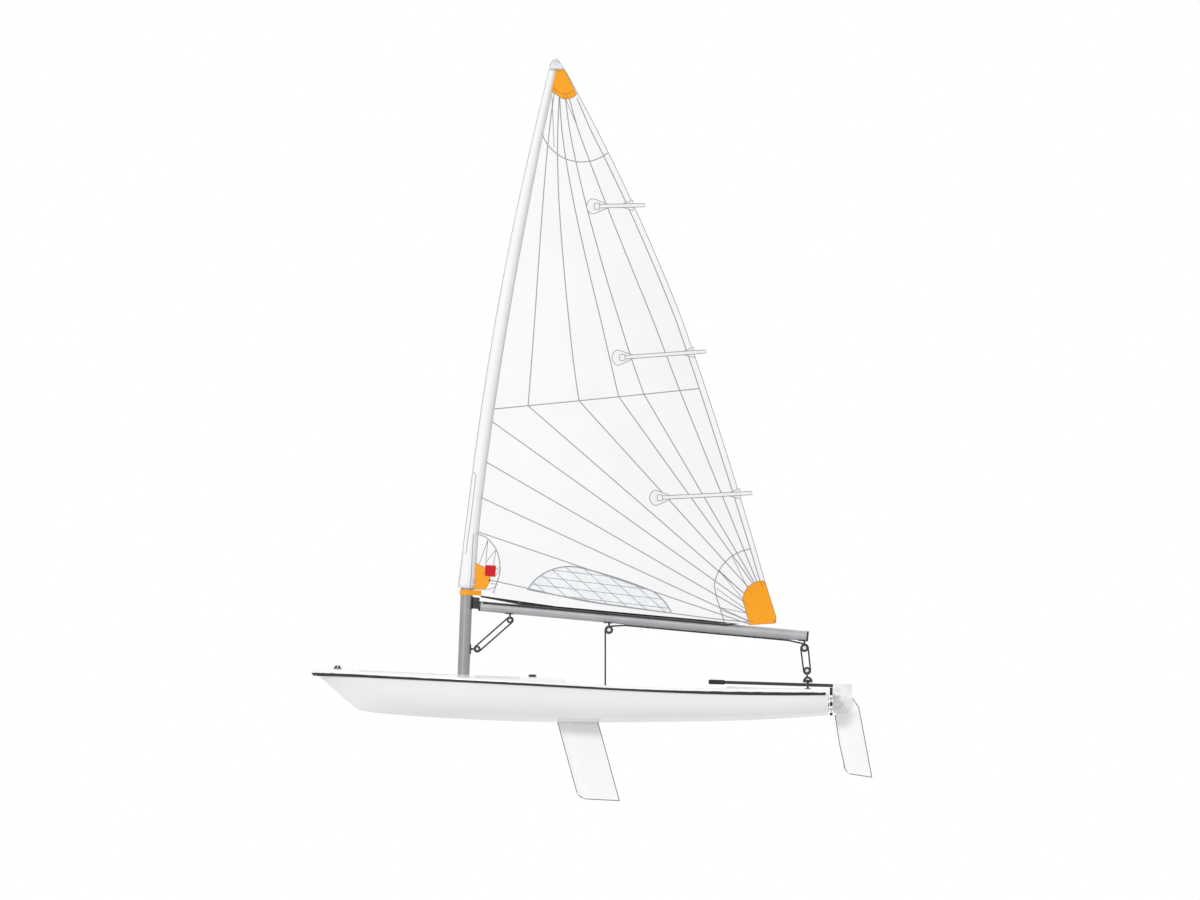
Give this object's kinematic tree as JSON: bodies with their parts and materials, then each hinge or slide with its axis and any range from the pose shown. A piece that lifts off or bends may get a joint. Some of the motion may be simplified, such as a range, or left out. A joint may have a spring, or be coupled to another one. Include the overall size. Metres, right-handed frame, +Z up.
{
  "type": "single-handed sailing dinghy",
  "caption": "Decked round-bilge dinghy hull with raked daggerboard, lifting rudder, unstayed turning mast, boom with vang and mainsheet, and a sleeved triangular sail.",
  "frame": {"origin": "centreline, amidships, at the waterline of the empty boat", "axes": "+X to the bow, +Y to port, +Z up"},
  "size_m": [4.5406, 1.3764, 6.0063],
  "materials": {
    "gelcoat_hull": "polished gelcoat",
    "gelcoat_deck": "gelcoat with moulded non-slip",
    "foil_white": "smooth foam-core skin",
    "head_white": "painted alloy",
    "tiller_black": "satin black",
    "grip_rubber": "moulded rubber",
    "stainless": "brushed",
    "spar_grey": "anodised grey",
    "boom_grey": "anodised light grey",
    "black_plastic": "moulded black nylon",
    "rope_black": "braided polyester",
    "webbing_black": "woven webbing",
    "sailcloth": "resinated polyester cloth",
    "sailcloth_sleeve": "resinated polyester cloth",
    "sail_orange": "dyed polyester cloth",
    "tag_red": "woven tape",
    "batten_white": "sewn pocket",
    "window_film": "clear scrim film",
    "cap_white": "moulded"
  },
  "bodies": {
    "hull": {"bow_eye": "black_plastic", "cleat_plate": "black_plastic", "control_cleats": "black_plastic", "deck_moulding": "gelcoat_deck", "drain_plug": "black_plastic", "fairlead_port": "black_plastic", "fairlead_starboard": "black_plastic", "gudgeon_lower": "stainless", "gudgeon_upper": "stainless", "hiking_strap": "webbing_black", "hiking_strap_plate": "black_plastic", "hull_moulding": "gelcoat_hull", "ratchet_base": "black_plastic", "ratchet_block": "black_plastic", "self_bailer": "black_plastic", "tackle_block": "black_plastic", "traveller_ring": "black_plastic", "traveller_rope": "rope_black"},
    "board": {"daggerboard": "foil_white", "board_stop": "black_plastic"},
    "rudder": {"rudder_head": "head_white", "tiller": "tiller_black", "tiller_grip": "grip_rubber", "blade_bolt": "stainless", "tiller_pin": "stainless", "pintle_upper": "stainless", "pintle_lower": "stainless"},
    "blade": {"rudder_blade": "foil_white"},
    "rig": {"lower_mast": "spar_grey", "mast_joint_collar": "black_plastic", "upper_mast": "spar_grey", "tack_strap": "sail_orange", "boom": "boom_grey", "boom_front_cap": "black_plastic", "boom_end_cap": "black_plastic", "gooseneck": "black_plastic", "vang_bracket": "black_plastic", "vang_lower_block": "black_plastic", "vang_hanger": "black_plastic", "vang_upper_block": "black_plastic", "vang_rope": "rope_black", "mid_sheet_hanger": "black_plastic", "end_sheet_hanger": "black_plastic", "mid_sheet_block": "black_plastic", "end_sheet_block": "black_plastic", "luff_sleeve": "sailcloth_sleeve", "sail_cloth": "sailcloth", "sail_window": "window_film", "head_patch": "sail_orange", "tack_patch": "sail_orange", "clew_patch": "sail_orange", "tack_tag": "tag_red", "batten_top": "batten_white", "batten_middle": "batten_white", "batten_lower": "batten_white", "masthead_cap": "cap_white"}
  },
  "joints": [
    {"name": "mast_turn", "type": "hinge", "parent": "hull", "child": "rig", "pos_m": [0.888, 0, -0.022], "axis": [-0.0379, 0, 0.9993], "range_deg": [-90, 90]},
    {"name": "rudder_turn", "type": "hinge", "parent": "hull", "child": "rudder", "pos_m": [-2.104, 0, 0.133], "axis": [0, 0, 1], "range_deg": [-45, 45]},
    {"name": "blade_lift", "type": "hinge", "parent": "rudder", "child": "blade", "pos_m": [-2.195, 0, 0.091], "axis": [0, 1, 0], "range_deg": [0, 75]},
    {"name": "daggerboard_slide", "type": "slide", "parent": "hull", "child": "board", "axis": [0.2639, 0, 0.9646], "range_m": [0, 0.45]}
  ]
}
